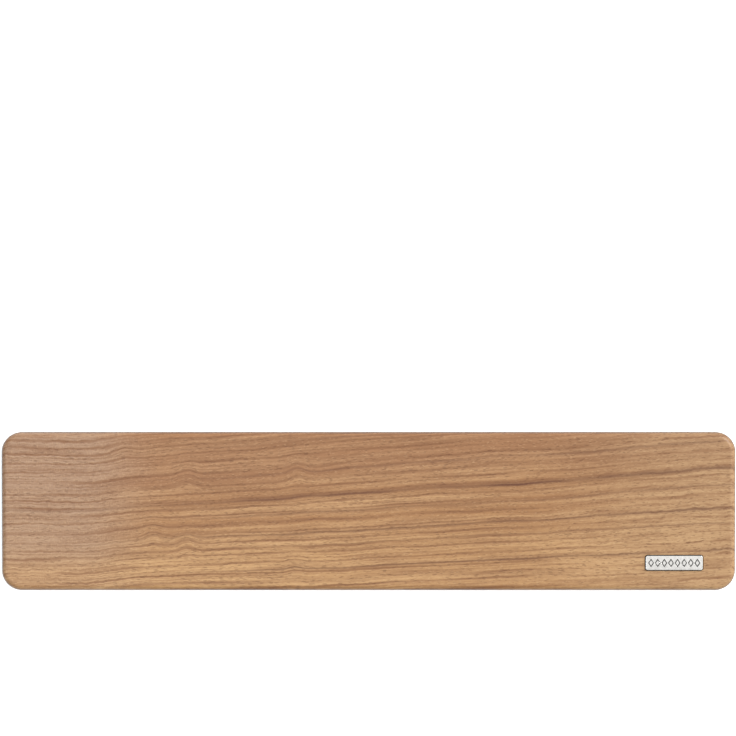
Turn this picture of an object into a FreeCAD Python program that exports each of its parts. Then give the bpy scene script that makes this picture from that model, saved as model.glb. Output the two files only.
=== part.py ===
"""Wooden wrist rest for a tenkeyless keyboard: a parametric FreeCAD document, in millimetres.

One walnut block with a sloping palm face, rounded in plan and along every edge. A cast metal badge sits in
a milled pocket near the front right corner on a film of adhesive. Six silicone feet sit in milled recesses
under the block, each on its own adhesive film.

X runs along the rest, Y from the user's side (-Y) to the keyboard's side (+Y), and Z up. The origin is on
the desk, under the middle of the block.
"""

import FreeCAD
import Part
import Sketcher

import math
import os

# Driving dimensions, in millimetres unless the name says otherwise.
SIZES = {
    # the walnut block
    "rest_length": 366.0,
    "rest_depth": 79.0,
    "rear_height": 19.2,  # where the palm face would meet the rear face, before the edge is rounded
    "front_height": 14.2,  # the same at the front face
    "plan_corner_radius": 10.0,
    "palm_edge_radius": 3.0,
    "base_edge_radius": 1.0,
    # the feet
    "stand_off": 0.8,  # air under the wood
    "foot_length": 40.0,
    "foot_width": 8.0,
    "foot_pitch": 140.0,
    "foot_row_offset": 28.0,
    "foot_edge_radius": 0.5,
    "recess_depth": 1.2,
    "recess_gap": 0.25,  # clearance all round a foot in its recess
    "foot_film": 0.15,
    # the badge
    "badge_length": 28.8,
    "badge_width": 7.6,
    "badge_corner_radius": 1.1,
    "badge_thickness": 2.0,
    "badge_edge_chamfer": 0.3,
    "badge_film": 0.15,
    "badge_centre_x": 152.4,
    "badge_centre_y": -25.8,
    "pocket_depth": 1.25,
    "pocket_gap": 0.15,  # clearance all round the badge in its pocket
    # the chain of lozenges engraved in the badge
    "engraving_depth": 0.35,
    "lozenge_length": 3.0,
    "lozenge_width": 4.6,
    "lozenge_pitch": 3.3,
    "island_length": 1.7,  # what stands inside each lozenge's groove
    "island_width": 2.6,
}
LOZENGES = 8
COLUMNS = {"left": -1, "middle": 0, "right": 1}
ROWS = {"front": -1, "rear": 1}
NEAR = 1e-4  # how closely a point must lie on a plane to count as on it
UP = FreeCAD.Vector(0, 0, 1)

doc = FreeCAD.newDocument("WristRest")
sheet = doc.addObject("Spreadsheet::Sheet", "Sizes")


def fill_sheet():
    """Puts each driving dimension in a cell of its own, beside its name."""
    for row, (name, value) in enumerate(SIZES.items(), start=1):
        sheet.set(f"A{row}", name)
        sheet.set(f"B{row}", str(value))
        sheet.setAlias(f"B{row}", name)
    doc.recompute()


def size(name):
    """The value of a driving dimension."""
    return float(sheet.get(name))


def bind(target, **expressions):
    """Binds properties to expressions. A bare name in an expression is a cell of the sheet."""
    for path, expression in expressions.items():
        target.setExpression(path.replace("__", "."), expression)


def cell(name):
    """How an expression names a cell."""
    return f"Sizes.{name}"


# The height of a foot's top, the slope of the palm face and its height at the badge's centre, as expressions.
FOOT_TOP = f"{cell('stand_off')} + {cell('recess_depth')} - {cell('foot_film')}"
PALM_SLOPE = f"atan(({cell('rear_height')} - {cell('front_height')}) / {cell('rest_depth')})"
PALM_HEIGHT_AT_BADGE = (
    f"({cell('rear_height')} + {cell('front_height')}) / 2"
    f" + ({cell('rear_height')} - {cell('front_height')}) * {cell('badge_centre_y')} / {cell('rest_depth')}"
)


def new_body(label):
    """An empty PartDesign body whose Label names its file."""
    body = doc.addObject("PartDesign::Body", label)
    body.Label = label
    return body


def origin_plane(body, role):
    """One of the body's own origin planes, such as XY_Plane."""
    return next(f for f in body.Origin.OriginFeatures if f.Role == role)


def new_sketch(body, name, role="XY_Plane"):
    """A sketch on one of the body's origin planes."""
    sketch = body.newObject("Sketcher::SketchObject", name)
    sketch.AttachmentSupport = [(origin_plane(body, role), "")]
    sketch.MapMode = "FlatFace"
    return sketch


def constrain(sketch, name, expression, *constraint):
    """Adds a dimension to a sketch and binds it to an expression."""
    index = sketch.addConstraint(Sketcher.Constraint(*constraint))
    sketch.renameConstraint(index, name)
    sketch.setExpression(f"Constraints.{name}", expression)


def point(x, y):
    return FreeCAD.Vector(x, y, 0)


def closed_polygon(sketch, corners):
    """Straight edges through the corners, each from its own corner to the next one."""
    first = sketch.GeometryCount
    count = len(corners)
    for i in range(count):
        sketch.addGeometry(Part.LineSegment(point(*corners[i]), point(*corners[(i + 1) % count])), False)
    for i in range(count):
        sketch.addConstraint(Sketcher.Constraint("Coincident", first + i, 2, first + (i + 1) % count, 1))


def rounded_rectangle(sketch, length, width, radius):
    """A rounded rectangle about the sketch's origin. Each size is its value now and its expression."""
    half_x = length[0] / 2
    half_y = width[0] / 2
    r = radius[0]
    sides = [
        ((-half_x + r, -half_y), (half_x - r, -half_y)),
        ((half_x, -half_y + r), (half_x, half_y - r)),
        ((half_x - r, half_y), (-half_x + r, half_y)),
        ((-half_x, half_y - r), (-half_x, -half_y + r)),
    ]
    signs = [(1, -1), (1, 1), (-1, 1), (-1, -1)]
    for i, ((start, end), (sx, sy)) in enumerate(zip(sides, signs)):
        turn = i * math.pi / 2
        circle = Part.Circle(point(sx * (half_x - r), sy * (half_y - r)), UP, r)
        sketch.addGeometry(Part.LineSegment(point(*start), point(*end)), False)
        sketch.addGeometry(Part.ArcOfCircle(circle, turn - math.pi / 2, turn), False)
    for i in range(4):
        line = 2 * i
        arc = line + 1
        next_line = (line + 2) % 8
        sketch.addConstraint(Sketcher.Constraint("Tangent", line, 2, arc, 1))
        sketch.addConstraint(Sketcher.Constraint("Tangent", arc, 2, next_line, 1))
        sketch.addConstraint(Sketcher.Constraint("Vertical" if i % 2 else "Horizontal", line))
        if i:
            sketch.addConstraint(Sketcher.Constraint("Equal", 1, arc))
    bottom, right, top, left = 0, 2, 4, 6
    sketch.addConstraint(Sketcher.Constraint("Symmetric", bottom, 1, top, 1, -1, 1))
    constrain(sketch, "Length", length[1], "DistanceX", left, 1, right, 1, length[0])
    constrain(sketch, "Width", width[1], "DistanceY", bottom, 1, top, 2, width[0])
    constrain(sketch, "Radius", radius[1], "Radius", 1, r)


def sized(expression, value):
    """A size as rounded_rectangle takes it."""
    return value, expression


def driven(name):
    """A size that is one cell of the sheet."""
    return size(name), cell(name)


def stadium(sketch, length, width):
    """A slot shape along X about the sketch's origin: two straight sides joined by half circles."""
    half = (length[0] - width[0]) / 2
    r = width[0] / 2
    right_end = Part.Circle(point(half, 0), UP, r)
    left_end = Part.Circle(point(-half, 0), UP, r)
    sketch.addGeometry(Part.LineSegment(point(-half, -r), point(half, -r)), False)
    sketch.addGeometry(Part.ArcOfCircle(right_end, -math.pi / 2, math.pi / 2), False)
    sketch.addGeometry(Part.LineSegment(point(half, r), point(-half, r)), False)
    sketch.addGeometry(Part.ArcOfCircle(left_end, math.pi / 2, 3 * math.pi / 2), False)
    for i in range(4):
        sketch.addConstraint(Sketcher.Constraint("Tangent", i, 2, (i + 1) % 4, 1))
    sketch.addConstraint(Sketcher.Constraint("Horizontal", 0))
    sketch.addConstraint(Sketcher.Constraint("Horizontal", 2))
    sketch.addConstraint(Sketcher.Constraint("Symmetric", 1, 3, 3, 3, -1, 1))
    constrain(sketch, "Straight", f"{length[1]} - {width[1]}", "DistanceX", 3, 3, 1, 3, 2 * half)
    constrain(sketch, "Width", width[1], "DistanceY", 0, 1, 2, 2, 2 * r)


def pad(body, sketch, name, length):
    """Pads a sketch along its normal."""
    feature = body.newObject("PartDesign::Pad", name)
    feature.Profile = sketch
    bind(feature, Length=length)
    doc.recompute()
    return feature


def pocket(body, sketch, name, depth, upwards=False):
    """Cuts a sketch into the body, and makes sure that something was cut."""
    before = body.Shape.Volume
    feature = body.newObject("PartDesign::Pocket", name)
    feature.Profile = sketch
    feature.Reversed = upwards
    bind(feature, Length=depth)
    doc.recompute()
    if body.Shape.Volume > before - NEAR:
        raise RuntimeError(f"{name} cut nothing")
    return feature


def repeat_along(body, feature, sketch, name, count, pitch):
    """Repeats a feature along its sketch's own X axis, and makes the pattern the body's tip."""
    before = body.Shape.Volume
    pattern = body.newObject("PartDesign::LinearPattern", name)
    pattern.Originals = [feature]
    pattern.Direction = (sketch, ["H_Axis"])
    pattern.Occurrences = count
    bind(pattern, Length=f"{count - 1} * {pitch}")
    body.Tip = pattern
    doc.recompute()
    if body.Shape.Volume > before - NEAR:
        raise RuntimeError(f"{name} cut nothing")


def edge_names(feature, test):
    """The names of a feature's edges whose ends and middle all pass the test."""
    names = []
    for number, edge in enumerate(feature.Shape.Edges, start=1):
        middle = edge.valueAt((edge.FirstParameter + edge.LastParameter) / 2)
        points = [v.Point for v in edge.Vertexes] + [middle]
        if all(test(p) for p in points):
            names.append(f"Edge{number}")
    return names


def upright_edges(feature):
    """The names of a feature's edges that run along Z."""
    names = []
    for number, edge in enumerate(feature.Shape.Edges, start=1):
        start, end = (v.Point for v in edge.Vertexes)
        if math.hypot(start.x - end.x, start.y - end.y) < NEAR:
            names.append(f"Edge{number}")
    return names


def dress(body, kind, name, base, edges, **expressions):
    """Adds a Fillet or Chamfer to the named edges of a feature."""
    feature = body.newObject(f"PartDesign::{kind}", name)
    feature.Base = (base, edges)
    bind(feature, **expressions)
    doc.recompute()
    return feature


def palm_height(y):
    """The height of the palm face's plane above the desk at a given Y."""
    middle = (size("rear_height") + size("front_height")) / 2
    return middle + (size("rear_height") - size("front_height")) * y / size("rest_depth")


def lay_on_palm_face(item, placement, sunk="0"):
    """Lays a sketch or a body on the palm face at the badge's centre, or sinks it square to the face.

    The placement is the name of the property that places the item. The tilt gets its axis first, because
    only its angle is bound.
    """
    tilt = FreeCAD.Rotation(FreeCAD.Vector(1, 0, 0), 1)
    setattr(item, placement, FreeCAD.Placement(FreeCAD.Vector(), tilt))
    places = {
        "Base.x": cell("badge_centre_x"),
        "Base.y": f"{cell('badge_centre_y')} + ({sunk}) * sin({PALM_SLOPE})",
        "Base.z": f"{PALM_HEIGHT_AT_BADGE} - ({sunk}) * cos({PALM_SLOPE})",
        "Rotation.Angle": PALM_SLOPE,
    }
    for path, expression in places.items():
        item.setExpression(f"{placement}.{path}", expression)


def make_block():
    """The walnut block: its profile padded along X and rounded, with the badge's pocket and six recesses."""
    body = new_body("wood_body")
    profile = new_sketch(body, "BlockProfile", "YZ_Plane")
    half = size("rest_depth") / 2
    base = size("stand_off")
    rear = size("rear_height")
    front = size("front_height")
    closed_polygon(profile, [(-half, base), (half, base), (half, rear), (-half, front)])
    profile.addConstraint(Sketcher.Constraint("Vertical", 1))
    profile.addConstraint(Sketcher.Constraint("Vertical", 3))
    profile.addConstraint(Sketcher.Constraint("Symmetric", 0, 1, 1, 1, -2))
    constrain(profile, "Depth", cell("rest_depth"), "DistanceX", 0, 1, 1, 1, 2 * half)
    constrain(profile, "Base", cell("stand_off"), "DistanceY", -1, 1, 0, 1, base)
    constrain(profile, "Rear", cell("rear_height"), "DistanceY", -1, 1, 2, 1, rear)
    constrain(profile, "Front", cell("front_height"), "DistanceY", -1, 1, 3, 1, front)
    block = pad(body, profile, "Block", cell("rest_length"))
    block.SideType = "Symmetric"
    doc.recompute()
    corners = upright_edges(block)
    rounded = dress(body, "Fillet", "PlanCorners", block, corners, Radius=cell("plan_corner_radius"))
    rim = edge_names(rounded, lambda p: abs(p.z - palm_height(p.y)) < NEAR)
    rounded = dress(body, "Fillet", "PalmEdge", rounded, rim, Radius=cell("palm_edge_radius"))
    rim = edge_names(rounded, lambda p: abs(p.z - base) < NEAR)
    dress(body, "Fillet", "BaseEdge", rounded, rim, Radius=cell("base_edge_radius"))
    cut_badge_pocket(body)
    cut_recesses(body)
    return body


def cut_badge_pocket(body):
    """The badge's pocket, square to the palm face."""
    sketch = new_sketch(body, "PocketOutline")
    lay_on_palm_face(sketch, "AttachmentOffset")
    gap = size("pocket_gap")
    grown = f" + 2 * {cell('pocket_gap')}"
    rounded_rectangle(
        sketch,
        sized(cell("badge_length") + grown, size("badge_length") + 2 * gap),
        sized(cell("badge_width") + grown, size("badge_width") + 2 * gap),
        sized(f"{cell('badge_corner_radius')} + {cell('pocket_gap')}", size("badge_corner_radius") + gap),
    )
    pocket(body, sketch, "BadgePocket", cell("pocket_depth"))


def cut_recesses(body):
    """Two rows of three recesses for the feet, each row a pattern of its left recess."""
    grown = f" + 2 * {cell('recess_gap')}"
    gap = size("recess_gap")
    for row, side in ROWS.items():
        sketch = new_sketch(body, f"Recess_{row}")
        bind(
            sketch,
            AttachmentOffset__Base__x=f"-{cell('foot_pitch')}",
            AttachmentOffset__Base__y=f"{side} * {cell('foot_row_offset')}",
            AttachmentOffset__Base__z=cell("stand_off"),
        )
        stadium(
            sketch,
            sized(f"({cell('foot_length')}{grown})", size("foot_length") + 2 * gap),
            sized(f"({cell('foot_width')}{grown})", size("foot_width") + 2 * gap),
        )
        first = pocket(body, sketch, f"LeftRecess_{row}", cell("recess_depth"), upwards=True)
        repeat_along(body, first, sketch, f"Recesses_{row}", len(COLUMNS), cell("foot_pitch"))


def make_foot(row, column):
    """A silicone foot: a slot-shaped pad whose lower rim is rounded. It hangs down from its film."""
    body = new_body(f"foot_{row}_{column}")
    sketch = new_sketch(body, "FootOutline")
    stadium(sketch, driven("foot_length"), driven("foot_width"))
    foot = pad(body, sketch, "Foot", FOOT_TOP)
    rim = edge_names(foot, lambda p: abs(p.z) < NEAR)
    dress(body, "Fillet", "FootEdge", foot, rim, Radius=cell("foot_edge_radius"))
    place_in_recess(body, row, column, "0")
    return body


def make_foot_film(row, column):
    """The adhesive film between a foot and the roof of its recess."""
    body = new_body(f"foot_adhesive_{row}_{column}")
    sketch = new_sketch(body, "FilmOutline")
    stadium(sketch, driven("foot_length"), driven("foot_width"))
    pad(body, sketch, "Film", cell("foot_film"))
    place_in_recess(body, row, column, FOOT_TOP)
    return body


def place_in_recess(body, row, column, height):
    """Puts a foot or its film under its recess."""
    bind(
        body,
        Placement__Base__x=f"{COLUMNS[column]} * {cell('foot_pitch')}",
        Placement__Base__y=f"{ROWS[row]} * {cell('foot_row_offset')}",
        Placement__Base__z=height,
    )


def make_badge():
    """The cast badge: a chamfered plate engraved with a chain of lozenges."""
    body = new_body("badge_plate")
    outline = new_sketch(body, "PlateOutline")
    rounded_rectangle(outline, driven("badge_length"), driven("badge_width"), driven("badge_corner_radius"))
    plate = pad(body, outline, "Plate", cell("badge_thickness"))
    rim = edge_names(plate, lambda p: abs(p.z - size("badge_thickness")) < NEAR)
    dress(body, "Chamfer", "PlateEdge", plate, rim, Size=cell("badge_edge_chamfer"))
    engrave_lozenges(body)
    lay_on_palm_face(body, "Placement", f"{cell('pocket_depth')} - {cell('badge_film')}")
    return body


def lozenge(sketch, name):
    """A lozenge about the sketch's origin, whose length and width are the name's cells."""
    half_x = size(f"{name}_length") / 2
    half_y = size(f"{name}_width") / 2
    right = sketch.GeometryCount
    top, left, bottom = right + 1, right + 2, right + 3
    closed_polygon(sketch, [(half_x, 0), (0, half_y), (-half_x, 0), (0, -half_y)])
    sketch.addConstraint(Sketcher.Constraint("Symmetric", right, 1, left, 1, -1, 1))
    sketch.addConstraint(Sketcher.Constraint("Symmetric", top, 1, bottom, 1, -1, 1))
    sketch.addConstraint(Sketcher.Constraint("PointOnObject", right, 1, -1))
    sketch.addConstraint(Sketcher.Constraint("PointOnObject", top, 1, -2))
    constrain(sketch, f"{name}Length", cell(f"{name}_length"), "DistanceX", left, 1, right, 1, 2 * half_x)
    constrain(sketch, f"{name}Width", cell(f"{name}_width"), "DistanceY", bottom, 1, top, 1, 2 * half_y)


def engrave_lozenges(body):
    """A groove round each lozenge of the chain, repeated from the left one."""
    sketch = new_sketch(body, "LozengeGroove")
    bind(
        sketch,
        AttachmentOffset__Base__x=f"-{LOZENGES - 1} * {cell('lozenge_pitch')} / 2",
        AttachmentOffset__Base__z=cell("badge_thickness"),
    )
    lozenge(sketch, "lozenge")
    lozenge(sketch, "island")
    groove = pocket(body, sketch, "LeftGroove", cell("engraving_depth"))
    repeat_along(body, groove, sketch, "Grooves", LOZENGES, cell("lozenge_pitch"))


def make_badge_film():
    """The adhesive film between the badge and its pocket's floor."""
    body = new_body("badge_adhesive")
    sketch = new_sketch(body, "FilmOutline")
    rounded_rectangle(sketch, driven("badge_length"), driven("badge_width"), driven("badge_corner_radius"))
    pad(body, sketch, "Film", cell("badge_film"))
    lay_on_palm_face(body, "Placement", cell("pocket_depth"))
    return body


def make_all():
    """Every sub-part of the rest, in the order it is put together."""
    parts = [make_block(), make_badge_film(), make_badge()]
    for row in ROWS:
        for column in COLUMNS:
            parts.append(make_foot_film(row, column))
            parts.append(make_foot(row, column))
    return parts


def check(parts):
    """Raises if the document or any sub-part's shape is not sound."""
    doc.recompute()
    failed = [o.Name for o in doc.Objects if "Invalid" in o.State or "Error" in o.State]
    if failed:
        raise RuntimeError(f"these objects failed: {failed}")
    for body in parts:
        shape = body.Shape
        if shape.isNull() or not shape.isValid() or len(shape.Solids) != 1:
            raise RuntimeError(f"{body.Label} is not one sound solid")


def export(parts):
    """Writes one STEP file per sub-part, named by its Label."""
    os.makedirs("parts", exist_ok=True)
    for body in parts:
        body.Shape.exportStep(f"parts/{body.Label}.step")
        box = body.Shape.optimalBoundingBox(False)
        print(f"{body.Label}: {box.XLength:.2f} x {box.YLength:.2f} x {box.ZLength:.2f} mm,"
              f" {body.Shape.Volume:.1f} mm3")


fill_sheet()
sub_parts = make_all()
check(sub_parts)
export(sub_parts)
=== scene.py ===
"""The looks of a walnut wrist rest: a block with a metal badge let into its palm face, on silicone feet.

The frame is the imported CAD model, in metres: X along the rest, +Y towards the keyboard, Z up, and the origin
on the desk under the middle of the block. The block and the badge are built here as smooth meshes with the
CAD's sizes, and so are the feet. The adhesive films are the CAD's own meshes with a material of their own.
"""

import math

import bmesh
import bpy
from mathutils import Matrix, Vector
from mathutils.geometry import delaunay_2d_cdt


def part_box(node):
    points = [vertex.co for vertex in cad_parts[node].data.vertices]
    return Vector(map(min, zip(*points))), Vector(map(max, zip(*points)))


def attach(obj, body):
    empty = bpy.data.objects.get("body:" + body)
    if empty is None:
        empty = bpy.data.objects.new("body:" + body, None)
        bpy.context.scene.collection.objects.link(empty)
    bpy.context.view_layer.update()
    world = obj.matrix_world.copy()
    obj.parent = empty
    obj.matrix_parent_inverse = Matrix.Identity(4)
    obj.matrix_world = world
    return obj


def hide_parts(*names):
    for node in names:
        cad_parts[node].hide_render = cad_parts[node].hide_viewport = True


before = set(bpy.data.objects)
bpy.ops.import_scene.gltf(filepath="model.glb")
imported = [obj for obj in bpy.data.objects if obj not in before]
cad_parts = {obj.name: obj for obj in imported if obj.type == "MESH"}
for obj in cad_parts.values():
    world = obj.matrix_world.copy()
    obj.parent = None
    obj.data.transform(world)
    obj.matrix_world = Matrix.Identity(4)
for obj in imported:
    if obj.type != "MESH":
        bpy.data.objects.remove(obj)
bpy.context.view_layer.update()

MM = 0.001
UP = Vector((0, 0, 1))

# Sizes that the CAD has and its boxes don't show.
PLAN_RADIUS = 10.0 * MM
PALM_ROUND = 3.0 * MM
BASE_ROUND = 1.0 * MM
BADGE_SIZE = (28.8 * MM, 7.6 * MM)
BADGE_CORNER = 1.1 * MM
BADGE_THICKNESS = 2.0 * MM
BADGE_FILM = 0.15 * MM
POCKET_DEPTH = 1.25 * MM
POCKET_GAP = 0.15 * MM
FOOT_GAP = 0.25 * MM
FOOT_ROUND = 0.5 * MM
RECESS_DEPTH = 1.2 * MM
LOZENGES = 8
LOZENGE_PITCH = 3.3 * MM
LOZENGE_SIZE = (3.0 * MM, 4.6 * MM)
ISLAND_SHARE = 0.566  # the island inside a groove, as a share of the groove's lozenge
ENGRAVING_DEPTH = 0.35 * MM

# Small roundings that only the looks have. The badge's takes the place of the CAD's narrow chamfer.
BADGE_ROUND = 0.5 * MM
BADGE_FOOT_ROUND = 0.1 * MM
BADGE_CROWN = 0.12 * MM
LOZENGE_CORNER = 0.22 * MM
FOOT_TOP_ROUND = 0.1 * MM
LIP = 0.1 * MM  # the arris round the pocket and the recesses
COVE = 0.15 * MM  # the cutter's corner at their floors
GROOVE_FULLNESS = 0.7  # a groove's section is a sine to this power, which steepens its sides

# How far apart the points of the meshes are.
BLOCK_PITCH = 4.5 * MM
POCKET_PITCH = 1.5 * MM
SLOT_PITCH = 3 * MM
SOLE_PITCH = 2 * MM
BADGE_RIM_PITCH = 0.8 * MM
BADGE_BACK_PITCH = 1.2 * MM
BADGE_FACE_PITCH = 0.6 * MM
GROOVE_PITCH = 0.3 * MM
ISLAND_PITCH = 0.45 * MM
RIM_CLEARANCE = 0.6  # how far a face's inner points stay from its corners, in pitches
SAME_POINT = 0.001 * MM  # points nearer than this are one point
FLAT_TOLERANCE = 1e-7  # the same for the triangulation, in metres

# The steps that an arc or a groove is made in.
LIP_STEPS = 4
COVE_STEPS = 3
SLOT_STEPS = 12
GROOVE_STEPS = 8


# ---------------------------------------------------------------- outlines and skins


def turned(start, end, share):
    """The unit vector part of the way from one unit vector to another."""
    angle = start.angle(end)
    return (start * math.sin((1 - share) * angle) + end * math.sin(share * angle)) / math.sin(angle)


def rectangle(length, width):
    """Its corners, anticlockwise."""
    return [Vector((sx * length / 2, sy * width / 2, 0)) for sx, sy in ((1, -1), (1, 1), (-1, 1), (-1, -1))]


def lozenge(length, width):
    """Its corners, anticlockwise."""
    along, across = Vector((length / 2, 0, 0)), Vector((0, width / 2, 0))
    return [along, across, -along, -across]


def rounded(corners, radius, arc_steps, pitch):
    """Points round a convex polygon with rounded corners, anticlockwise: (point, outward normal) pairs."""
    outline = []
    count = len(corners)
    sides = [(corners[(i + 1) % count] - corners[i]).normalized() for i in range(count)]
    normals = [side.cross(UP) for side in sides]
    for i in range(count):
        before, after = normals[i - 1], normals[i]
        centre = corners[i] - (before + after) * radius / (1 + before.dot(after))
        for step in range(arc_steps + 1):
            normal = turned(before, after, step / arc_steps)
            outline.append((centre + normal * radius, normal))
        following = normals[(i + 1) % count]
        next_centre = corners[(i + 1) % count] - (after + following) * radius / (1 + after.dot(following))
        start, end = outline[-1][0], next_centre + after * radius
        steps = round((end - start).length / pitch)
        for step in range(1, steps):
            outline.append((start.lerp(end, step / steps), after))
    return [pair for i, pair in enumerate(outline) if (pair[0] - outline[i - 1][0]).length > SAME_POINT]


class Skin:
    """A closed surface that is put together from loops of points, strips between loops and filled faces."""

    def __init__(self):
        self.points = []
        self.normals = []
        self.faces = []

    def loop(self, pairs, place=Matrix.Identity(4)):
        """Adds (point, normal) pairs in the frame of the place, and returns their numbers.

        A normal may be None, and then it is worked out from the faces round the point.
        """
        first = len(self.points)
        turn = place.to_3x3()
        for point, normal in pairs:
            self.points.append(place @ point)
            self.normals.append(normal and turn @ normal)
        return list(range(first, len(self.points)))

    def strip(self, loops):
        """Joins each loop to the next one by a strip of quads."""
        for low, high in zip(loops, loops[1:]):
            count = len(low)
            for i in range(count):
                j = (i + 1) % count
                self.faces.append((low[i], low[j], high[j], high[i]))

    def fill(self, rim, holes, normal, pitch):
        """Fills a flat face between its rim and its holes with an even mesh. Its normal is square to X."""
        across = normal.cross(Vector((1, 0, 0)))
        origin = self.points[rim[0]]
        height = origin.dot(normal)

        def flat(point):
            return Vector((point.x, point.dot(across)))

        loops = [rim, *holes]
        numbers = [number for loop in loops for number in loop]
        corners = [flat(self.points[number]) for number in numbers]
        edges, first = [], 0
        for loop in loops:
            edges += [(first + i, first + (i + 1) % len(loop)) for i in range(len(loop))]
            first += len(loop)
        polygons = [[flat(self.points[number]) for number in loop] for loop in loops]
        inner = [
            spot for spot in lattice(polygons[0], pitch)
            if inside(spot, polygons[0])
            and not any(inside(spot, hole) for hole in polygons[1:])
            and min((spot - corner).length for corner in corners) > pitch * RIM_CLEARANCE
        ]
        numbers += self.loop(
            (Vector((spot.x, 0, 0)) + across * spot.y + normal * height, normal) for spot in inner
        )
        filled = delaunay_2d_cdt(corners + inner, edges, [], 1, FLAT_TOLERANCE)
        spots, _, triangles, sources = filled[:4]
        for triangle in triangles:
            centre = sum((spots[corner] for corner in triangle), Vector((0, 0))) / 3
            if not any(inside(centre, hole) for hole in polygons[1:]):
                self.faces.append(tuple(numbers[sources[corner][0]] for corner in triangle))

    def build(self, name, material):
        """The finished piece. Triangles are joined to quads, and each point keeps its own normal."""
        mesh = bpy.data.meshes.new(name)
        mesh.from_pydata(self.points, [], self.faces)
        model = bmesh.new()
        model.from_mesh(mesh)
        triangles = [face for face in model.faces if len(face.verts) == 3]
        bmesh.ops.join_triangles(
            model,
            faces=triangles,
            angle_face_threshold=math.radians(1),
            angle_shape_threshold=math.radians(40),
        )
        model.to_mesh(mesh)
        model.free()
        for polygon in mesh.polygons:
            polygon.use_smooth = True
        normals = [own or vertex.normal.copy() for own, vertex in zip(self.normals, mesh.vertices)]
        mesh.normals_split_custom_set_from_vertices(normals)
        mesh.materials.append(material)
        piece = bpy.data.objects.new(name, mesh)
        bpy.context.scene.collection.objects.link(piece)
        return piece


def lattice(polygon, pitch):
    """Points of a square grid over a polygon's box."""
    low = Vector((min(p.x for p in polygon), min(p.y for p in polygon)))
    high = Vector((max(p.x for p in polygon), max(p.y for p in polygon)))
    columns = max(1, round((high.x - low.x) / pitch))
    rows = max(1, round((high.y - low.y) / pitch))
    for i in range(1, columns):
        for j in range(1, rows):
            yield Vector((low.x + (high.x - low.x) * i / columns, low.y + (high.y - low.y) * j / rows))


def inside(spot, polygon):
    """Whether a point is inside a polygon, by counting the sides to its right."""
    odd = False
    for start, end in zip(polygon, polygon[1:] + polygon[:1]):
        if (start.y > spot.y) != (end.y > spot.y):
            share = (spot.y - start.y) / (end.y - start.y)
            odd ^= spot.x < start.x + share * (end.x - start.x)
    return odd


def round_over(outline, radius, start, end, steps, height):
    """Loops of (point, normal) pairs that turn round an outside edge from one direction to another.

    start and end are directions, or None for the outline's own normal. height gives, for an inset point, the
    height of the ball's centre that rolls along the edge.
    """
    for step in range(steps + 1):
        pairs = []
        for point, out in outline:
            centre = point - out * radius
            centre = Vector((centre.x, centre.y, height(centre)))
            direction = turned(start or out, end or out, step / steps)
            pairs.append((centre + direction * radius, direction))
        yield pairs


def level_at(height):
    """A height for round_over that is the same everywhere."""
    return lambda centre: height


def sink(skin, outline, place, depth, pitch):
    """Sinks an outline into the face that is z = 0 of the place. Returns its rim, a hole for the face."""
    loops = []
    for step in range(LIP_STEPS + 1):
        pairs = []
        for point, out in outline:
            normal = turned(UP, -out, step / LIP_STEPS)
            pairs.append((point + out * LIP - UP * LIP + normal * LIP, normal))
        loops.append(skin.loop(pairs, place))
    for step in range(COVE_STEPS + 1):
        pairs = []
        for point, out in outline:
            normal = turned(-out, UP, step / COVE_STEPS)
            pairs.append((point - out * COVE + UP * (COVE - depth) - normal * COVE, normal))
        loops.append(skin.loop(pairs, place))
    skin.strip(loops)
    skin.fill(loops[-1], [], place.to_3x3() @ UP, pitch)
    return loops[0]


# ---------------------------------------------------------------- the frame's own places


def middle(node):
    """The middle of a CAD node's box."""
    low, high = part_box(node)
    return (low + high) / 2


def palm_normal():
    """The direction that the CAD block's largest upward face looks in, leaving out level and steep ones."""
    faces = [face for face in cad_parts["wood_body"].data.polygons if 0.5 < face.normal.z < 0.9999]
    return max(faces, key=lambda face: face.area).normal.copy()


PALM = palm_normal()


def square_to_palm(point):
    """The frame whose z axis is square to the palm face and whose origin is the point."""
    axes = Matrix((Vector((1, 0, 0)), PALM.cross(Vector((1, 0, 0))), PALM)).transposed()
    return Matrix.Translation(point) @ axes.to_4x4()


# The adhesive film lies on the pocket's floor, so its middle gives the badge's place.
BADGE_PLACE = square_to_palm(middle("badge_adhesive") - PALM * BADGE_FILM / 2)
PALM_POINT = BADGE_PLACE @ Vector((0, 0, POCKET_DEPTH))
BADGE_FACE = BADGE_PLACE @ Vector((0, 0, BADGE_FILM + BADGE_THICKNESS))


def palm_height(point):
    """The height of the palm face's plane over a point."""
    return PALM_POINT.z - ((point.x - PALM_POINT.x) * PALM.x + (point.y - PALM_POINT.y) * PALM.y) / PALM.z


# ---------------------------------------------------------------- the block


def build_block(material):
    """The walnut block, with its pocket and its recesses."""
    low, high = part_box("wood_body")
    corners = rectangle(high.x - low.x, high.y - low.y)
    outline = rounded(corners, PLAN_RADIUS, arc_steps=20, pitch=BLOCK_PITCH)
    skin = Skin()
    base_level = level_at(low.z + BASE_ROUND)
    lower = round_over(outline, BASE_ROUND, -UP, None, steps=6, height=base_level)
    upper = round_over(outline, PALM_ROUND, None, PALM, steps=14, height=under_palm)
    base = [skin.loop(pairs) for pairs in lower]
    palm = [skin.loop(pairs) for pairs in upper]
    wall = []
    for share in (0.25, 0.5, 0.75):
        pairs = [
            (skin.points[a].lerp(skin.points[b], share), skin.normals[a]) for a, b in zip(base[-1], palm[0])
        ]
        wall.append(skin.loop(pairs))
    skin.strip(base + wall + palm)
    skin.fill(palm[-1], [sink_pocket(skin)], PALM, BLOCK_PITCH)
    skin.fill(base[0], sink_recesses(skin), -UP, BLOCK_PITCH)
    block = skin.build("walnut_block", material)
    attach(block, "root")
    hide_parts("wood_body")


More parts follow.
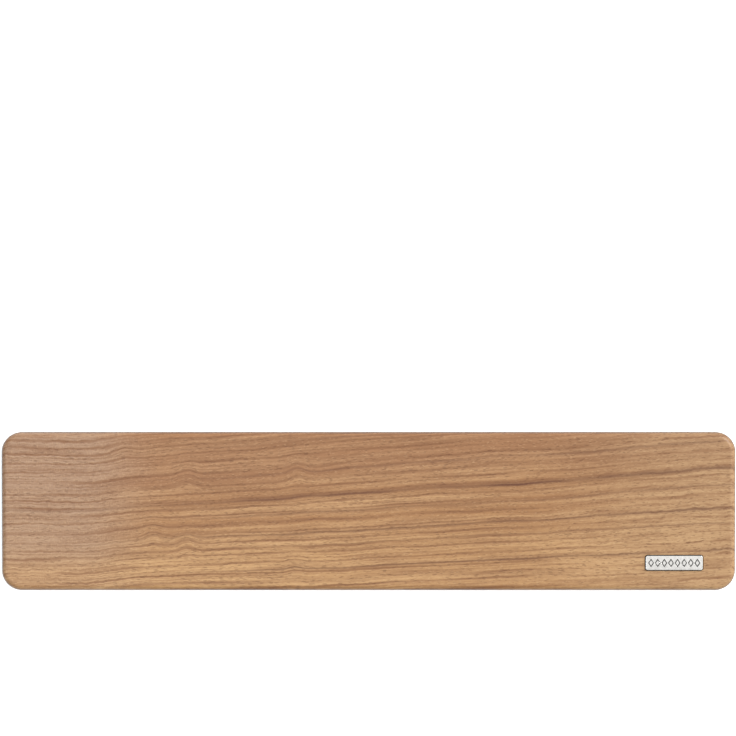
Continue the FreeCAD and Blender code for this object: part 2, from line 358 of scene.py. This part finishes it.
def under_palm(point):
    """The height of a ball's centre that rolls along the palm face's edge, from below the face."""
    return palm_height(point) - PALM_ROUND / PALM.z


def sink_pocket(skin):
    """The badge's pocket in the palm face."""
    length, width = BADGE_SIZE
    corners = rectangle(length + 2 * POCKET_GAP, width + 2 * POCKET_GAP)
    outline = rounded(corners, BADGE_CORNER + POCKET_GAP, arc_steps=10, pitch=POCKET_PITCH)
    return sink(skin, outline, square_to_palm(PALM_POINT), POCKET_DEPTH, POCKET_PITCH)


def sink_recesses(skin):
    """The slot-shaped recesses under the block, one round each foot."""
    rims = []
    for node in sorted(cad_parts):
        if not node.startswith("foot_adhesive"):
            continue
        low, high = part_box(node)
        width = high.y - low.y + 2 * FOOT_GAP
        corners = rectangle(high.x - low.x + 2 * FOOT_GAP, width)
        outline = rounded(corners, width / 2, SLOT_STEPS, SLOT_PITCH)
        face = Vector(((low.x + high.x) / 2, (low.y + high.y) / 2, high.z - RECESS_DEPTH))
        place = Matrix.Translation(face) @ Matrix.Rotation(math.pi, 4, "X")
        rims.append(sink(skin, outline, place, RECESS_DEPTH, SLOT_PITCH))
    return rims


# ---------------------------------------------------------------- the badge


def build_badge(material):
    """The cast plate with rounded edges, engraved with a chain of lozenges."""
    outline = rounded(rectangle(*BADGE_SIZE), BADGE_CORNER, arc_steps=12, pitch=BADGE_RIM_PITCH)
    skin = Skin()
    top = BADGE_FILM + BADGE_THICKNESS
    back_level = level_at(BADGE_FILM + BADGE_FOOT_ROUND)
    lower = round_over(outline, BADGE_FOOT_ROUND, -UP, None, steps=3, height=back_level)
    upper = round_over(outline, BADGE_ROUND, None, UP, steps=8, height=level_at(top - BADGE_ROUND))
    loops = [skin.loop(pairs, BADGE_PLACE) for pairs in (*lower, *upper)]
    skin.strip(loops)
    skin.fill(loops[0], [], -PALM, BADGE_BACK_PITCH)
    grooves = [groove(skin, i, top) for i in range(LOZENGES)]
    skin.fill(loops[-1], grooves, PALM, BADGE_FACE_PITCH)
    crown(skin)
    badge = skin.build("badge", material)
    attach(badge, "root")
    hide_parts("badge_plate")


def crown(skin):
    """Domes the badge's face a little, and turns the normals of its smooth points to match."""
    into = BADGE_PLACE.inverted()
    half_length, half_width = BADGE_SIZE[0] / 2, BADGE_SIZE[1] / 2
    turn = BADGE_PLACE.to_3x3()
    for i, point in enumerate(skin.points):
        local = into @ point
        if local.z < BADGE_THICKNESS / 2:
            continue
        along, across = local.x / half_length, local.y / half_width
        skin.points[i] = point + PALM * BADGE_CROWN * (1 - along ** 2) * (1 - across ** 2)
        if skin.normals[i]:
            lean_along = 2 * BADGE_CROWN * along * (1 - across ** 2) / half_length
            lean_across = 2 * BADGE_CROWN * across * (1 - along ** 2) / half_width
            skin.normals[i] = (skin.normals[i] + turn @ Vector((lean_along, lean_across, 0))).normalized()


def groove(skin, number, top):
    """One lozenge-shaped groove of the chain, and the island inside it. Returns the groove's outer rim."""
    centre = Vector(((number - (LOZENGES - 1) / 2) * LOZENGE_PITCH, 0, top))
    outline = rounded(lozenge(*LOZENGE_SIZE), LOZENGE_CORNER, arc_steps=5, pitch=GROOVE_PITCH)
    loops = []
    for step in range(GROOVE_STEPS + 1):
        across = step / GROOVE_STEPS
        share = 1 + (ISLAND_SHARE - 1) * across
        depth = ENGRAVING_DEPTH * math.sin(math.pi * across) ** GROOVE_FULLNESS
        flat = UP if step in (0, GROOVE_STEPS) else None
        pairs = [(centre + point * share - UP * depth, flat) for point, _ in outline]
        loops.append(skin.loop(pairs, BADGE_PLACE))
    skin.strip(loops)
    skin.fill(loops[-1], [], PALM, ISLAND_PITCH)
    return loops[0]


# ---------------------------------------------------------------- the feet


def build_feet(material):
    """The silicone feet: slot-shaped pads with a rounded sole."""
    for node in sorted(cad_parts):
        if not node.startswith("foot_") or "adhesive" in node:
            continue
        low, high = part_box(node)
        width = high.y - low.y
        place = Matrix.Translation(Vector(((low.x + high.x) / 2, (low.y + high.y) / 2, 0)))
        outline = rounded(rectangle(high.x - low.x, width), width / 2, SLOT_STEPS, SLOT_PITCH)
        sole_level = level_at(low.z + FOOT_ROUND)
        top_level = level_at(high.z - FOOT_TOP_ROUND)
        lower = round_over(outline, FOOT_ROUND, -UP, None, steps=6, height=sole_level)
        upper = round_over(outline, FOOT_TOP_ROUND, None, UP, steps=3, height=top_level)
        skin = Skin()
        loops = [skin.loop(pairs, place) for pairs in (*lower, *upper)]
        skin.strip(loops)
        skin.fill(loops[0], [], -UP, SOLE_PITCH)
        skin.fill(loops[-1], [], UP, SOLE_PITCH)
        foot = skin.build("silicone_" + node, material)
        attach(foot, "root")
        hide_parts(node)


# ---------------------------------------------------------------- materials
#
# Lengths in the materials are millimetres of the CAD frame, unless they are multiplied by MM. Shares run
# from 0 to 1.


def srgb(red, green, blue):
    """A colour given as a screen shows it, 0 to 255, as the shader takes it."""
    linear = [((part / 255 + 0.055) / 1.055) ** 2.4 for part in (red, green, blue)]
    return (*linear, 1.0)


class Shader:
    """A material under construction. A method takes sockets and numbers, adds nodes and returns a socket."""

    def __init__(self, name):
        self.material = bpy.data.materials.new(name)
        self.material.use_nodes = True
        self.tree = self.material.node_tree
        self.tree.nodes.clear()

    def node(self, kind, inputs=(), **settings):
        made = self.tree.nodes.new("ShaderNode" + kind)
        for name, value in settings.items():
            setattr(made, name, value)
        for key, value in dict(inputs).items():
            if isinstance(value, bpy.types.NodeSocket):
                self.tree.links.new(value, made.inputs[key])
            else:
                made.inputs[key].default_value = value
        return made

    def math(self, operation, *values):
        return self.node("Math", enumerate(values), operation=operation).outputs[0]

    def add(self, *values):
        total = values[0]
        for value in values[1:]:
            total = self.math("ADD", total, value)
        return total

    def times(self, *values):
        product = values[0]
        for value in values[1:]:
            product = self.math("MULTIPLY", product, value)
        return product

    def minus(self, first, second):
        return self.math("SUBTRACT", first, second)

    def split(self, vector):
        return self.node("SeparateXYZ", {0: vector}).outputs[:]

    def vector(self, x, y, z):
        return self.node("CombineXYZ", {0: x, 1: y, 2: z}).outputs[0]

    def stretched(self, x, y, z, length, width):
        """A place measured in lumps of this length along the grain and this width across it."""
        return self.vector(self.times(x, 1 / length), self.times(y, 1 / width), self.times(z, 1 / width))

    def noise(self, vector, detail=2.0, roughness=0.5):
        """Smooth noise about 0.5, whose lumps are one unit of the vector wide."""
        inputs = {"Vector": vector, "Scale": 1.0, "Detail": detail, "Roughness": roughness}
        return self.node("TexNoise", inputs).outputs["Fac"]

    def swing(self, vector, reach, detail=2.0):
        """Noise that goes about as far below nothing as above it."""
        return self.times(self.minus(self.noise(vector, detail), 0.5), 4 * reach)

    def cells(self, vector, feature="F1", dimensions="3D"):
        """How far a place is from the nearest of scattered points, or from the edge between two."""
        inputs = {"W" if dimensions == "1D" else "Vector": vector, "Scale": 1.0}
        made = self.node("TexVoronoi", inputs, feature=feature, voronoi_dimensions=dimensions)
        return made.outputs["Distance"]

    def dashes(self, x, y, z, length, width, size):
        """Scattered marks, this far apart along and across the grain. The size is a share of those."""
        return self.math("LESS_THAN", self.cells(self.stretched(x, y, z, length, width)), size)

    def fade(self, value, start, end, low=0.0, high=1.0):
        """Goes smoothly from low to high as the value goes from start to end, and stays there."""
        inputs = {"Value": value, "From Min": start, "From Max": end, "To Min": low, "To Max": high}
        return self.node("MapRange", inputs, interpolation_type="SMOOTHSTEP").outputs["Result"]

    def mix(self, share, first, second, blend="MIX"):
        made = self.node("Mix", {0: share, 6: first, 7: second}, data_type="RGBA", blend_type=blend)
        return made.outputs[2]

    def bump(self, height, distance, strength=1.0):
        return self.node("Bump", {"Height": height, "Distance": distance, "Strength": strength}).outputs[0]

    def surface(self, **inputs):
        """Ends the material in one Principled surface."""
        named = {name.replace("_", " "): value for name, value in inputs.items()}
        surface = self.node("BsdfPrincipled", named)
        output = self.node("OutputMaterial")
        self.tree.links.new(surface.outputs[0], output.inputs["Surface"])
        return self.material

    def millimetres(self):
        """Where the point is in the CAD frame, in millimetres."""
        place = self.node("TexCoord").outputs["Object"]
        return self.node("VectorMath", {0: place, "Scale": 1 / MM}, operation="SCALE").outputs[0]


# The grain's own shape, in millimetres of the CAD frame.
PITH = (130.0, -65.0)  # where the tree's middle would be, as Y and Z: under the block and behind it
FLAT_END = -130.0  # left of this X the grain runs flat
DRIFT = 0.052  # how far the grain climbs towards +Y for each millimetre to the right
FANNING = 0.0005  # how much more it climbs for each millimetre of Y
STEP = (-143.0, -117.0, 1.8)  # between these X the grain steps up by the third number
# Pin knots push the grain aside: X, Y and how far, in millimetres.
PIN_KNOTS = (
    (-121.7, 30.6, 1.4),
    (-90.7, 18.1, 2.4),
    (-107.7, -9.9, 2.0),
    (-90.2, -15.4, 2.2),
    (-35.7, 20.6, 2.2),
    (-36.7, -26.4, 1.0),
)
KNOT_LENGTH = 5.0
KNOT_WIDTH = 7.0
# The darkest rings: where each meets the palm face at its left end, as Y; its width; and how dark it is.
DARK_RINGS = (
    (26.0, 0.4, 0.45),
    (11.5, 0.4, 0.5),
    (-0.2, 0.65, 1.0),
    (-7.9, 0.4, 0.5),
    (-17.2, 0.5, 0.75),
    (-23.0, 0.35, 0.5),
    (-34.5, 0.45, 0.75),
)

PALE = srgb(163, 127, 88)
HONEY = srgb(140, 101, 64)
BROWN = srgb(108, 70, 41)
DEEP = srgb(78, 42, 24)
GOLDEN = srgb(170, 134, 90)
REDDISH = srgb(130, 91, 62)
# The colours of the painted sheen at the block's left and right ends.
GREY_SHEEN = srgb(148, 124, 103)
STRAW_SHEEN = srgb(161, 133, 99)
FLECK = srgb(181, 149, 112)
# The tint that paints shade on the block's walls.
WALL_SHADE_TINT = srgb(186, 182, 179)


def ring_radius(level):
    """How far from the pith the palm face is, where it is at this Y."""
    point = Vector((0, level * MM, 0))
    return math.hypot(level - PITH[0], palm_height(point) / MM - PITH[1])


def grain_level(shader, x, y, z):
    """Y with the grain's climb, waves and knots taken out, so that it stays the same along a fibre."""
    run = shader.math("SMOOTH_MAX", shader.minus(x, FLAT_END), 0.0, 20.0)
    slope = shader.add(shader.times(y, FANNING), DRIFT)
    climb = shader.add(shader.times(run, slope), shader.fade(x, STEP[0], STEP[1], 0.0, STEP[2]))
    long_waves = shader.swing(shader.stretched(x, y, z, 70, 22), 0.9)
    short_waves = shader.swing(shader.stretched(x, y, z, 16, 7), 0.25)
    ragged = shader.swing(shader.stretched(x, y, z, 2.5, 1.2), 0.1)
    ends = shader.add(shader.fade(x, -105.0, -135.0), shader.fade(x, 90.0, 140.0, 0.0, 0.7))
    ripple = shader.times(shader.swing(shader.stretched(x, y, z, 5, 4), 0.4), ends)
    moved = shader.add(climb, long_waves, short_waves, ragged, ripple)
    for knot_x, knot_y, push in PIN_KNOTS:
        along = shader.times(shader.minus(x, knot_x), 1 / KNOT_LENGTH)
        across = shader.times(shader.minus(y, knot_y), 1 / KNOT_WIDTH)
        distance = shader.add(shader.times(along, along), shader.times(across, across))
        moved = shader.add(moved, shader.times(shader.math("EXPONENT", shader.times(distance, -1.0)), push))
    return shader.minus(y, moved)


def dark_rings(shader, x, radius, patchy):
    """The darkest rings. They fade towards the left end."""
    dark = 0.0
    for meets, width, depth in DARK_RINGS:
        off = shader.times(shader.minus(radius, ring_radius(meets)), 1 / width)
        line = shader.math("EXPONENT", shader.times(off, off, -1.0))
        dark = shader.math("MAXIMUM", dark, shader.times(line, depth))
    uneven = shader.fade(patchy, 0.3, 0.6, 0.4, 1.0)
    return shader.times(dark, uneven, shader.fade(x, -110.0, -20.0, 0.35, 1.0))


def ring_lines(shader, radius, spacing, width, strength):
    """Irregular rings about this far apart, each a line as wide as this share of the spacing."""
    edges = shader.cells(shader.times(radius, 1 / spacing), "DISTANCE_TO_EDGE", "1D")
    return shader.times(shader.fade(edges, width, 0.0), strength)


def broad_colour(shader, x, level, z, bands):
    """Golden in front and reddish at the rear, with a grey painted sheen at the left end and a straw-coloured
    painted sheen at the right end.
    """
    drift = shader.noise(shader.stretched(x, level, z, 60, 14))
    golden = shader.fade(shader.add(level, shader.times(drift, 16.0)), 2.0, -22.0)
    golden = shader.times(golden, shader.fade(x, 20.0, -100.0, 0.45, 0.63))
    reddish = shader.times(shader.fade(shader.add(level, shader.times(drift, 12.0)), 3.0, 20.0), 0.6)
    # a grey painted sheen towards the left end
    grey_sheen = shader.fade(shader.add(x, shader.times(drift, 30.0)), -85.0, -130.0, 0.0, 0.65)
    grey_sheen = shader.times(grey_sheen, shader.fade(level, -32.0, -16.0, 0.3, 1.0))
    colour = shader.mix(shader.fade(bands, 0.35, 0.65), HONEY, PALE)
    colour = shader.mix(golden, colour, GOLDEN)
    colour = shader.mix(reddish, colour, REDDISH)
    colour = shader.mix(grey_sheen, colour, GREY_SHEEN)
    # a straw-coloured painted sheen towards the right end
    return shader.mix(shader.fade(x, 70.0, 170.0, 0.0, 0.45), colour, STRAW_SHEEN)


def wall_shade(shader):
    """Painted shade on the walls and roundings: the wood is darker the steeper its surface is."""
    tilt = shader.split(shader.node("NewGeometry").outputs["Normal"])[2]
    return shader.fade(shader.math("ABSOLUTE", tilt), 0.76, 0.36)


def walnut():
    """Walnut under a satin clear coat. Its rings run along the block and through its whole thickness."""
    shader = Shader("walnut_grain")
    x, y, z = shader.split(shader.millimetres())
    level = grain_level(shader, x, y, z)
    from_pith = shader.vector(0.0, shader.minus(level, PITH[0]), shader.minus(z, PITH[1]))
    radius = shader.node("VectorMath", {0: from_pith}, operation="LENGTH").outputs["Value"]

    # rings: chosen dark ones, and irregular ones between them that grow faint and broken at the right end
    patchy = shader.noise(shader.vector(shader.times(x, 1 / 45), shader.times(radius, 1 / 3), 0.0))
    patchy_too = shader.noise(shader.vector(shader.times(x, 1 / 30), shader.times(radius, 1 / 1.5), 4.0))
    bands = shader.noise(shader.vector(shader.times(x, 1 / 160), shader.times(radius, 1 / 5), 8.0), 3.0)
    gaps = shader.fade(shader.noise(shader.stretched(x, level, z, 9, 1.2)), 0.58, 0.42)
    broken = shader.minus(1.0, shader.times(gaps, shader.fade(x, 50.0, 130.0, 0.0, 0.8)))
    calm = shader.times(shader.fade(x, 40.0, 130.0, 1.0, 0.8), broken)
    dark = dark_rings(shader, x, radius, patchy)
    coarse_strength = shader.times(shader.fade(patchy, 0.3, 0.65, 0.2, 0.85), calm)
    coarse = ring_lines(shader, radius, 3.4, 0.22, coarse_strength)
    fine_strength = shader.times(shader.fade(patchy_too, 0.35, 0.65, 0.05, 0.44), calm)
    fine = ring_lines(shader, radius, 1.1, 0.3, fine_strength)

    # fibres, flecks and pores, long and thin along the grain, and ray flecks across it at the left end
    fibres = shader.noise(shader.stretched(x, level, z, 6, 0.3), 3.0, 0.6)
    streaks = shader.noise(shader.stretched(x, level, z, 35, 1.3), 3.0)
    mottle = shader.noise(shader.stretched(x, level, z, 2.2, 0.9))
    flecks = shader.dashes(x, level, z, 2.6, 0.6, 0.26)
    rays = shader.times(shader.dashes(x, level, z, 0.7, 2.2, 0.3), shader.fade(x, -85.0, -135.0))
    crowding = shader.add(shader.fade(bands, 0.4, 0.62, 0.2, 0.28), shader.times(coarse, 0.1))
    pores = shader.dashes(x, level, shader.add(z, 50.0), 4, 0.5, crowding)

    colour = broad_colour(shader, x, level, z, bands)
    colour = shader.mix(shader.times(shader.fade(streaks, 0.4, 0.7), 0.5), colour, BROWN)
    colour = shader.mix(shader.times(flecks, 0.25), colour, FLECK)
    colour = shader.mix(shader.times(rays, 0.2), colour, FLECK)
    colour = shader.mix(fine, colour, BROWN)
    colour = shader.mix(coarse, colour, BROWN)
    colour = shader.mix(dark, colour, DEEP)
    colour = shader.mix(shader.times(shader.fade(fibres, 0.35, 0.7), 0.2), colour, BROWN)
    colour = shader.mix(shader.times(shader.fade(mottle, 0.4, 0.7), 0.18), colour, BROWN)
    colour = shader.mix(shader.times(pores, 0.42), colour, DEEP)
    # painted shade on the steep walls and roundings
    colour = shader.mix(wall_shade(shader), colour, WALL_SHADE_TINT, "MULTIPLY")
    relief = shader.minus(shader.times(fibres, 0.35), pores)
    return shader.surface(
        Base_Color=colour,
        Roughness=shader.fade(fibres, 0.2, 0.8, 0.34, 0.48),
        Specular_IOR_Level=0.33,
        Normal=shader.bump(relief, 0.04 * MM),
    )


def cast_metal():
    """Satin nickel: the face bright, with painted shade in the engraving and on the walls, and fine scratches.
    """
    shader = Shader("satin_nickel")
    place = shader.millimetres()
    height = shader.node("VectorMath", {0: place, 1: PALM}, operation="DOT_PRODUCT").outputs["Value"]
    depth = shader.minus(BADGE_FACE.dot(PALM) / MM, height)
    x, y, z = shader.split(place)
    grain = shader.noise(shader.stretched(x, y, z, 0.17, 0.17), 4.0, 0.6)
    cast = shader.noise(shader.stretched(x, y, z, 1.25, 1.25))
    scratches = shader.noise(shader.stretched(x, y, z, 0.8, 0.07))
    # painted shade: darker the deeper a point lies below the badge's face, in the engraving and on the rounded
    # walls
    hollow = shader.fade(depth, 0.01, 0.1)
    colour = shader.mix(shader.fade(grain, 0.3, 0.7), srgb(212, 210, 206), srgb(196, 194, 190))
    colour = shader.mix(shader.fade(cast, 0.4, 0.7, 0.0, 0.4), colour, srgb(176, 174, 170))
    # paints the shade in the engraving and on the walls
    colour = shader.mix(hollow, colour, srgb(84, 82, 80))
    relief = shader.add(shader.times(cast, 4.0), shader.times(grain, 0.25))
    return shader.surface(
        Base_Color=colour,
        Metallic=1.0,
        Roughness=shader.add(shader.fade(scratches, 0.3, 0.7, 0.22, 0.34), shader.times(hollow, 0.2)),
        Normal=shader.bump(relief, 0.02 * MM),
    )


def silicone():
    """Matt black silicone with a fine moulded texture."""
    shader = Shader("silicone")
    x, y, z = shader.split(shader.millimetres())
    texture = shader.noise(shader.stretched(x, y, z, 0.25, 0.25), 3.0)
    return shader.surface(
        Base_Color=shader.mix(texture, srgb(28, 28, 29), srgb(44, 44, 45)),
        Roughness=shader.fade(texture, 0.2, 0.8, 0.55, 0.75),
        Normal=shader.bump(texture, 0.03 * MM),
    )


def adhesive():
    """A thin film of clear acrylic, milky from its backing."""
    shader = Shader("acrylic_film")
    x, y, z = shader.split(shader.millimetres())
    specks = shader.noise(shader.stretched(x, y, z, 0.5, 0.5))
    return shader.surface(
        Base_Color=shader.mix(specks, srgb(196, 196, 190), srgb(216, 216, 211)),
        Roughness=shader.fade(specks, 0.3, 0.7, 0.3, 0.45),
    )


def dress_films(material):
    """Gives the CAD's own adhesive films their material."""
    for name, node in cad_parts.items():
        if "adhesive" in name:
            node.material_slots[0].material = material


# ---------------------------------------------------------------- floor, light and camera

FLOOR_REACH = 40.0
VIEW_WIDTH = 366.9 * MM  # what the camera sees across, at the palm face
VIEW_CENTRE = Vector((-0.3 * MM, 71.4 * MM, 17 * MM))
LENS = 300.0
SENSOR = 36.0
# The dome of light is brightest round its middle and grows faint away from it.
DOME_MIDDLE = Vector((0.6, 0.42, 0.68))
DOME_REACH = (0.8, -0.2)  # the cosines of the angles where it is at its brightest and at its faintest
DOME_LIGHT = (1.4, 0.1)
FLOOR_GLOW = 0.35  # what the floor gives out by itself, like a light table
FAR_CLIP = 10.0
# The lights shine from these places towards the origin.
KEY_FROM = Vector((0.9, 0.7, 1.15))
KEY_SPREAD = math.radians(12)
LEFT_BOX_AT = Vector((-0.68, -0.2, 1.1))
RIGHT_BOX_AT = Vector((1.1, -0.2, 1.3))
COOL_WHITE = (0.88, 0.94, 1.0)


def build_floor():
    """A plain white light table that runs out to the horizon."""
    corners = [(sx * FLOOR_REACH, sy * FLOOR_REACH, 0) for sx, sy in ((-1, -1), (1, -1), (1, 1), (-1, 1))]
    mesh = bpy.data.meshes.new("floor")
    mesh.from_pydata(corners, [], [(0, 1, 2, 3)])
    floor = bpy.data.objects.new("floor", mesh)
    white = srgb(250, 250, 250)
    shader = Shader("opal_acrylic")
    glowing = shader.surface(
        Base_Color=white, Roughness=0.8, Emission_Color=white, Emission_Strength=FLOOR_GLOW
    )
    mesh.materials.append(glowing)
    bpy.context.scene.collection.objects.link(floor)


def build_world():
    """A dome of soft light that is brightest above and to the rear right, and a white backdrop."""
    world = bpy.data.worlds.new("studio")
    world.use_nodes = True
    tree = world.node_tree
    tree.nodes.clear()
    ways = tree.nodes.new("ShaderNodeTexCoord")
    toward = tree.nodes.new("ShaderNodeVectorMath")
    toward.operation = "DOT_PRODUCT"
    toward.inputs[1].default_value = DOME_MIDDLE.normalized()
    dome = tree.nodes.new("ShaderNodeMapRange")
    dome.interpolation_type = "SMOOTHSTEP"
    dome.inputs["From Max"].default_value, dome.inputs["From Min"].default_value = DOME_REACH
    dome.inputs["To Max"].default_value, dome.inputs["To Min"].default_value = DOME_LIGHT
    light = tree.nodes.new("ShaderNodeBackground")
    light.inputs["Color"].default_value = (1.0, 1.0, 1.0, 1.0)
    tree.links.new(ways.outputs["Generated"], toward.inputs[0])
    tree.links.new(toward.outputs["Value"], dome.inputs["Value"])
    tree.links.new(dome.outputs[0], light.inputs["Strength"])
    backdrop = tree.nodes.new("ShaderNodeBackground")
    backdrop.inputs["Color"].default_value = (1.0, 1.0, 1.0, 1.0)
    path = tree.nodes.new("ShaderNodeLightPath")
    either = tree.nodes.new("ShaderNodeMixShader")
    output = tree.nodes.new("ShaderNodeOutputWorld")
    tree.links.new(path.outputs["Is Camera Ray"], either.inputs[0])
    tree.links.new(light.outputs[0], either.inputs[1])
    tree.links.new(backdrop.outputs[0], either.inputs[2])
    tree.links.new(either.outputs[0], output.inputs["Surface"])
    bpy.context.scene.world = world


def aim(thing, target):
    """Turns a light or a camera towards a point."""
    thing.rotation_mode = "QUATERNION"
    thing.rotation_quaternion = (target - thing.location).to_track_quat("-Z", "Y")


def add_light(name, kind, location, target=Vector((0, 0, 0)), **settings):
    data = bpy.data.lights.new(name, kind)
    for key, value in settings.items():
        setattr(data, key, value)
    lamp = bpy.data.objects.new(name, data)
    bpy.context.scene.collection.objects.link(lamp)
    lamp.location = location
    lamp.visible_camera = False
    aim(lamp, target)


def build_lights():
    """A key light from the rear right, and two soft boxes high up on the left and on the right."""
    add_light("key", "SUN", KEY_FROM, energy=2.55, angle=KEY_SPREAD)
    left = {"size": 0.7, "size_y": 0.9, "energy": 6, "color": COOL_WHITE}
    right = {"size": 0.8, "size_y": 1.0, "energy": 4.5}
    add_light("left_box", "AREA", LEFT_BOX_AT, shape="RECTANGLE", **left)
    add_light("right_box", "AREA", RIGHT_BOX_AT, shape="RECTANGLE", **right)


def build_camera():
    """A long lens straight above, with the rest low in the frame."""
    data = bpy.data.cameras.new("camera")
    data.lens = LENS
    data.sensor_width = SENSOR
    data.clip_end = FAR_CLIP
    camera = bpy.data.objects.new("camera", data)
    camera.location = VIEW_CENTRE + UP * VIEW_WIDTH * LENS / SENSOR
    bpy.context.scene.collection.objects.link(camera)
    bpy.context.scene.camera = camera


bpy.context.scene.view_settings.view_transform = "Standard"
build_block(walnut())
build_badge(cast_metal())
build_feet(silicone())
dress_films(adhesive())
build_floor()
build_world()
build_lights()
build_camera()
